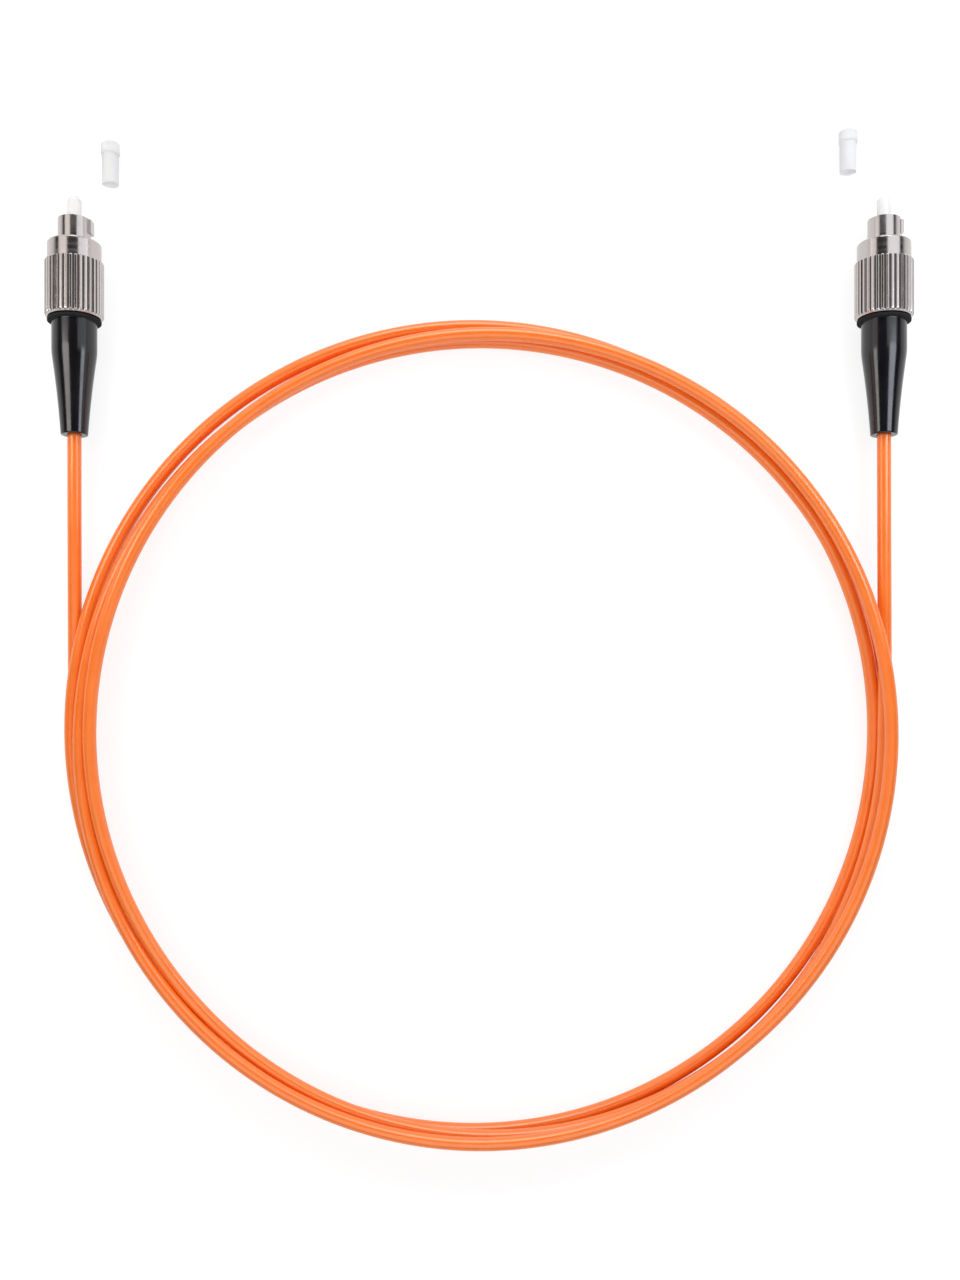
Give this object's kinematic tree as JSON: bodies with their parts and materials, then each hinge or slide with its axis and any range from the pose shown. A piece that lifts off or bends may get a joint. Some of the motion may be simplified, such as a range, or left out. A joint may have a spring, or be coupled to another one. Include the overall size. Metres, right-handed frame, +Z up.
{
  "type": "fibre patch cord",
  "caption": "Orange fibre-optic patch cord wound into a flat coil, with a sprung ceramic ferrule, keyed barrel, knurled screw-on nut and black boot at each end; dust caps off.",
  "frame": {"origin": "on the floor, at the middle of the box round the two connectors and their dust caps", "axes": "+X from the left connector to the right one, +Y the way the ferrules point, +Z up"},
  "size_m": [0.1518, 0.1821, 0.01],
  "materials": {
    "orange_jacket": "smooth extruded jacket, soft gloss",
    "black_boot": "glossy black moulded strain relief",
    "nickel": "bright nickel plate on brass",
    "steel": "plain stainless steel",
    "crimp_metal": "drawn metal sleeve",
    "ceramic": "white polished zirconia",
    "aramid": "yellow aramid yarn",
    "buffer": "tight buffer on the glass fibre",
    "clear_white": "translucent white moulded cap"
  },
  "bodies": {
    "cord_set": {"left_boot": "black_boot", "left_crimp_sleeve": "crimp_metal", "left_aramid_yarn": "aramid", "left_fibre_buffer": "buffer", "left_rear_body": "nickel", "left_key_barrel": "nickel", "left_ferrule_spring": "steel", "left_dust_cap": "clear_white", "left_tail": "orange_jacket", "right_boot": "black_boot", "right_crimp_sleeve": "crimp_metal", "right_aramid_yarn": "aramid", "right_fibre_buffer": "buffer", "right_rear_body": "nickel", "right_key_barrel": "nickel", "right_ferrule_spring": "steel", "right_dust_cap": "clear_white", "right_tail": "orange_jacket", "cord_coil": "orange_jacket"},
    "left_ferrule_unit": {"left_ferrule": "ceramic", "left_ferrule_flange": "steel"},
    "left_ring_unit": {"left_retaining_ring": "steel"},
    "left_nut_unit": {"left_coupling_nut": "nickel"},
    "right_ferrule_unit": {"right_ferrule": "ceramic", "right_ferrule_flange": "steel"},
    "right_ring_unit": {"right_retaining_ring": "steel"},
    "right_nut_unit": {"right_coupling_nut": "nickel"}
  },
  "joints": [
    {"name": "left_ferrule_press", "type": "slide", "parent": "cord_set", "child": "left_ferrule_unit", "axis": [0, 1, 0], "range_m": [-0.0012, 0], "stiffness_N_per_m": 1000, "deforming": ["left_ferrule_spring"]},
    {"name": "left_nut_slide", "type": "slide", "parent": "cord_set", "child": "left_ring_unit", "axis": [0, 1, 0], "range_m": [0, 0.003]},
    {"name": "left_nut_turn", "type": "hinge", "parent": "left_ring_unit", "child": "left_nut_unit", "pos_m": [-0.0709, 0, 0.005], "axis": [0, 1, 0], "continuous": true},
    {"name": "right_ferrule_press", "type": "slide", "parent": "cord_set", "child": "right_ferrule_unit", "axis": [0, 1, 0], "range_m": [-0.0012, 0], "stiffness_N_per_m": 1000, "deforming": ["right_ferrule_spring"]},
    {"name": "right_nut_slide", "type": "slide", "parent": "cord_set", "child": "right_ring_unit", "axis": [0, 1, 0], "range_m": [0, 0.003]},
    {"name": "right_nut_turn", "type": "hinge", "parent": "right_ring_unit", "child": "right_nut_unit", "pos_m": [0.0709, 0, 0.005], "axis": [0, 1, 0], "continuous": true}
  ]
}
